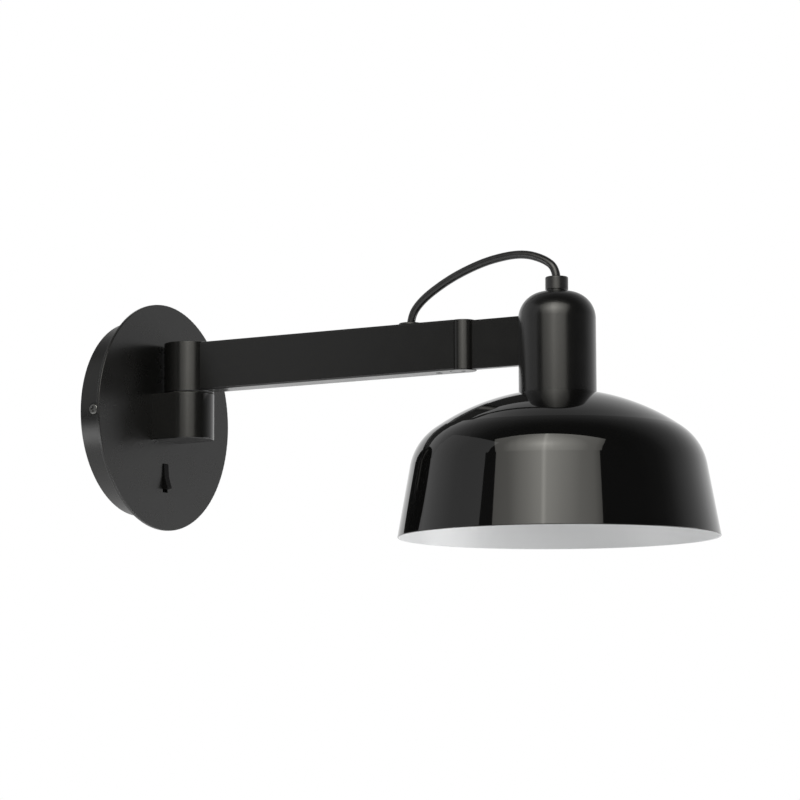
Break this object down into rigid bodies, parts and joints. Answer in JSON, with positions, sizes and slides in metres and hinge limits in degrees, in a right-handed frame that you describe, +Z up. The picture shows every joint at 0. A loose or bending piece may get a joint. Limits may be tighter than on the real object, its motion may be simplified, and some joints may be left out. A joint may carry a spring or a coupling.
{
  "type": "wall lamp",
  "caption": "Bedside wall reading lamp: round wall plate with a rocker switch, swinging rectangular arm, elbow link and a bowl shade fed by a looped cord.",
  "frame": {"origin": "centre of the canopy's back, on the wall between the two wall screw holes", "axes": "+Y into the wall, the lamp reaches out towards -Y; +Z up; +X to the right seen from the front"},
  "size_m": [0.1984, 0.4147, 0.1807],
  "materials": {
    "black_satin": "satin black powder coat",
    "black_gloss": "gloss black outside, white inside",
    "black_plastic": "matt moulded",
    "cord_black": "smooth flexible sheath",
    "screw_black": "black zinc",
    "zinc_steel": "bright zinc",
    "friction_grey": "plain",
    "terminal_white": "natural",
    "socket_brass": "plain",
    "holder_plastic": "matt moulded",
    "bulb_nickel": "nickel plated",
    "bulb_opal": "opal"
  },
  "bodies": {
    "canopy": {"mounting_strap": "zinc_steel", "earth_screw": "socket_brass", "wall_cup": "black_satin", "side_screws": "screw_black", "front_disc": "black_satin", "terminal_block": "terminal_white", "terminal_screws": "zinc_steel", "canopy_flex": "cord_black", "switch_body": "black_plastic", "switch_blades": "socket_brass", "wall_bracket": "black_satin", "bracket_screws": "zinc_steel", "pivot_tube": "zinc_steel", "friction_washer": "friction_grey", "thrust_washer": "zinc_steel", "pivot_nut": "zinc_steel"},
    "rocker": {"switch_rocker": "black_plastic"},
    "arm": {"arm_knuckle": "black_satin", "knuckle_cap": "black_satin", "arm_tube": "black_satin", "cord_grommet": "black_plastic", "elbow_cap": "black_satin", "grub_screw": "screw_black", "arm_flex": "cord_black", "cord": "cord_black"},
    "head": {"elbow_pin": "zinc_steel", "elbow_washers": "friction_grey", "elbow_link": "black_satin", "link_screws": "zinc_steel", "lampholder_cover": "black_satin", "cord_grip": "black_plastic", "cord_grip_nut": "zinc_steel", "head_flex": "cord_black", "lampholder": "holder_plastic", "lampholder_shell": "socket_brass", "centre_contact": "socket_brass", "shade_ring": "holder_plastic", "shade": "black_gloss", "bulb_cap": "bulb_nickel", "bulb_globe": "bulb_opal"}
  },
  "joints": [
    {"name": "arm_swing", "type": "hinge", "parent": "canopy", "child": "arm", "pos_m": [0, -0.041, 0.0311], "axis": [0, 0, 1], "range_deg": [-75, 75]},
    {"name": "elbow_swing", "type": "hinge", "parent": "arm", "child": "head", "pos_m": [0, -0.249, 0.0311], "axis": [0, 0, -1], "range_deg": [-55, 55], "deforming": ["cord"]},
    {"name": "rocker_tilt", "type": "hinge", "parent": "canopy", "child": "rocker", "pos_m": [0, -0.0171, -0.0403], "axis": [1, 0, 0], "range_deg": [0, 20]}
  ]
}
